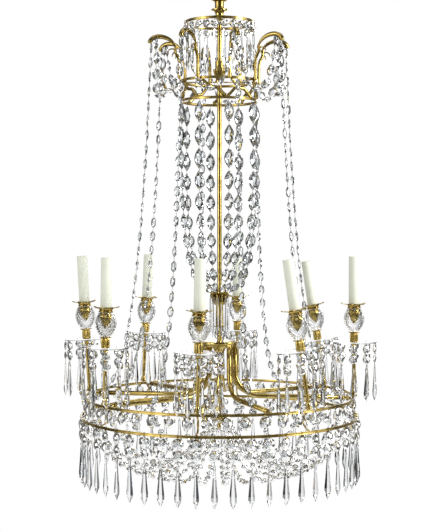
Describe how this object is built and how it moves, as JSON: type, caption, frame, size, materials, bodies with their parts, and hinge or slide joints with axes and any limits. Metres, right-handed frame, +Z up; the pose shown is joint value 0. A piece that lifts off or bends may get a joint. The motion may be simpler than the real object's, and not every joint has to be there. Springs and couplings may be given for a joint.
{
  "type": "chandelier",
  "caption": "Crystal chandelier with candle arms on brass rings, hung with bead chains, swags, icicles and festoons under an arched crown; its candle sleeves lift off the lamp holders.",
  "frame": {"origin": "centre of the suspension eye's hole", "axes": "+Z up the rod, -Y towards the front candle, +X to the right"},
  "size_m": [0.7069, 0.7006, 1.1483],
  "materials": {
    "brass": "polished and lacquered",
    "crystal": "cut and polished",
    "sleeve_ivory": "matt card sleeve",
    "holder_black": "moulded"
  },
  "bodies": {
    "chandelier": {"suspension_eye": "brass", "top_fitting": "brass", "top_ring": "brass", "central_rod": "brass", "crown_hub": "brass", "crown_upper_ring": "brass", "crown_lower_ring": "brass", "crown_brackets": "brass", "crown_arm_1": "brass", "crown_arm_2": "brass", "crown_arm_3": "brass", "crown_arm_4": "brass", "crown_arm_5": "brass", "crown_arm_6": "brass", "crown_arm_7": "brass", "crown_arm_8": "brass", "lower_collar": "brass", "fluted_stem": "brass", "glass_knob": "crystal", "arm_disc": "brass", "candle_arm_1": "brass", "candle_arm_2": "brass", "candle_arm_3": "brass", "candle_arm_4": "brass", "candle_arm_5": "brass", "candle_arm_6": "brass", "candle_arm_7": "brass", "candle_arm_8": "brass", "mid_ring": "brass", "lower_ring": "brass", "ring_struts": "brass", "candle_stems": "brass", "drip_pans": "crystal", "candle_sockets": "brass", "glass_eggs": "crystal", "candle_nozzles": "brass", "bobeches": "brass", "lamp_holders": "holder_black", "tail_rod": "brass", "bottom_disc": "brass", "top_ring_crystals": "crystal", "outer_chains": "crystal", "inner_strands": "crystal", "crown_swags": "crystal", "pan_crystals": "crystal", "mid_ring_beads": "crystal", "lower_ring_crystals": "crystal", "bottom_festoons": "crystal", "skirt_prisms": "crystal"},
    "sleeve_1": {"candle_sleeve_1": "sleeve_ivory"},
    "sleeve_2": {"candle_sleeve_2": "sleeve_ivory"},
    "sleeve_3": {"candle_sleeve_3": "sleeve_ivory"},
    "sleeve_4": {"candle_sleeve_4": "sleeve_ivory"},
    "sleeve_5": {"candle_sleeve_5": "sleeve_ivory"},
    "sleeve_6": {"candle_sleeve_6": "sleeve_ivory"},
    "sleeve_7": {"candle_sleeve_7": "sleeve_ivory"},
    "sleeve_8": {"candle_sleeve_8": "sleeve_ivory"}
  },
  "joints": [
    {"name": "sleeve_1_lift", "type": "slide", "parent": "chandelier", "child": "sleeve_1", "axis": [0.0209, 0, 0.9998], "range_m": [0, 0.07]},
    {"name": "sleeve_2_lift", "type": "slide", "parent": "chandelier", "child": "sleeve_2", "axis": [-0.1392, 0, 0.9903], "range_m": [0, 0.07]},
    {"name": "sleeve_3_lift", "type": "slide", "parent": "chandelier", "child": "sleeve_3", "axis": [0, 0, 1], "range_m": [0, 0.07]},
    {"name": "sleeve_4_lift", "type": "slide", "parent": "chandelier", "child": "sleeve_4", "axis": [-0.1478, 0, 0.989], "range_m": [0, 0.07]},
    {"name": "sleeve_5_lift", "type": "slide", "parent": "chandelier", "child": "sleeve_5", "axis": [0, 0, 1], "range_m": [0, 0.07]},
    {"name": "sleeve_6_lift", "type": "slide", "parent": "chandelier", "child": "sleeve_6", "axis": [0.0436, 0, 0.999], "range_m": [0, 0.07]},
    {"name": "sleeve_7_lift", "type": "slide", "parent": "chandelier", "child": "sleeve_7", "axis": [-0.0523, 0, 0.9986], "range_m": [0, 0.07]},
    {"name": "sleeve_8_lift", "type": "slide", "parent": "chandelier", "child": "sleeve_8", "axis": [0.0175, 0, 0.9998], "range_m": [0, 0.07]}
  ]
}
